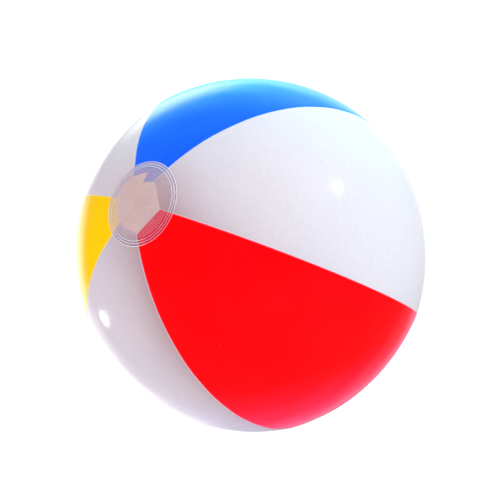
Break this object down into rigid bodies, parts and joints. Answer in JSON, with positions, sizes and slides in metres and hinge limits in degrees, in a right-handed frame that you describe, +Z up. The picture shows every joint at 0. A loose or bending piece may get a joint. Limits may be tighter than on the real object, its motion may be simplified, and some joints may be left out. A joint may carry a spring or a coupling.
{
  "type": "inflatable beach ball",
  "caption": "Inflatable beach ball of coloured and white lap-welded vinyl panels, with clear round end caps and a push-in valve with a tethered plug.",
  "frame": {"origin": "centre of the inflated ball, halfway between its poles", "axes": "+Z up as the ball lies on a floor, +Y along the inflation valve's axis, out of the ball; the polar axis slants, and the front pole points to -X, -Y and +Z"},
  "size_m": [0.3562, 0.3539, 0.3568],
  "materials": {
    "red_vinyl": "glossy opaque vinyl film",
    "white_vinyl": "glossy, slightly translucent vinyl film",
    "blue_vinyl": "glossy opaque vinyl film",
    "yellow_vinyl": "glossy opaque vinyl film",
    "clear_vinyl": "clear, slightly hazy vinyl film",
    "valve_vinyl": "soft, milky moulded vinyl"
  },
  "bodies": {
    "ball": {"panel_blue": "blue_vinyl", "panel_white_1": "white_vinyl", "panel_red": "red_vinyl", "panel_white_2": "white_vinyl", "panel_yellow": "yellow_vinyl", "panel_white_3": "white_vinyl", "end_cap_front": "clear_vinyl", "end_cap_back": "clear_vinyl", "valve_flange": "valve_vinyl", "valve_skirt": "valve_vinyl"},
    "stem": {"valve_stem": "valve_vinyl"},
    "plug": {"plug": "valve_vinyl", "plug_strap": "valve_vinyl"},
    "flap": {"check_flap": "clear_vinyl"}
  },
  "joints": [
    {"name": "stem_slide", "type": "slide", "parent": "ball", "child": "stem", "axis": [0, 1, 0], "range_m": [0, 0.012], "deforming": ["valve_skirt"]},
    {"name": "plug_hinge", "type": "hinge", "parent": "stem", "child": "plug", "pos_m": [-0.00334, 0.17535, -0.00447], "axis": [-1, 0, 0], "range_deg": [0, 120]},
    {"name": "flap_hinge", "type": "hinge", "parent": "stem", "child": "flap", "pos_m": [-0.00334, 0.16202, 0.00793], "axis": [-1, 0, 0], "range_deg": [0, 60], "stiffness_Nm_per_rad": 0.00002, "springref_deg": -11.46}
  ]
}
